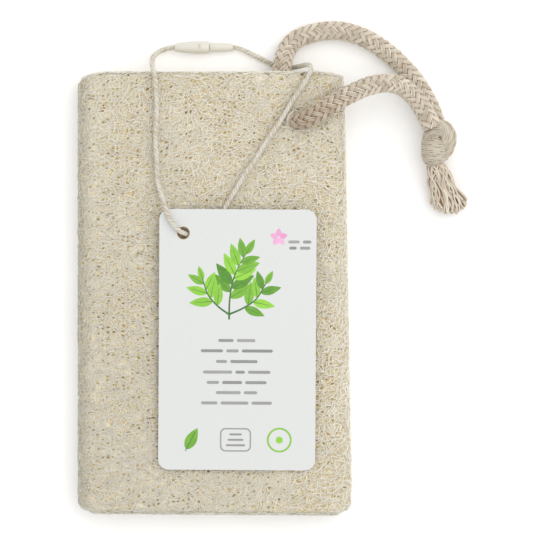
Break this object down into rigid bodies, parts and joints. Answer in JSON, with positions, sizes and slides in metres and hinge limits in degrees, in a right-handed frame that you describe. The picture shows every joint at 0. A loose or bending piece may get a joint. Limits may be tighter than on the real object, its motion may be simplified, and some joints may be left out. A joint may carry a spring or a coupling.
{
  "type": "natural loofah sponge",
  "caption": "Flat natural loofah sponge pad with a knotted hanging rope and a blank swing tag on a looped string.",
  "frame": {"origin": "middle of the pad's back, on the surface that the pad lies on", "axes": "+Z out of the pad's front face, +Y along the pad to the end with the rope, +X across it"},
  "size_m": [0.1594, 0.2011, 0.0246],
  "materials": {
    "loofah": "dry fibre net",
    "cotton": "braided yarn",
    "card": "uncoated",
    "string": "twisted yarn",
    "seal": "satin"
  },
  "bodies": {
    "root": {"loofah_pad": "loofah", "hanging_rope": "cotton", "rope_knot": "cotton", "rope_tassel": "cotton", "tag_card": "card", "tag_string": "string", "seal_barrel": "seal", "seal_plug": "seal"}
  },
  "joints": []
}
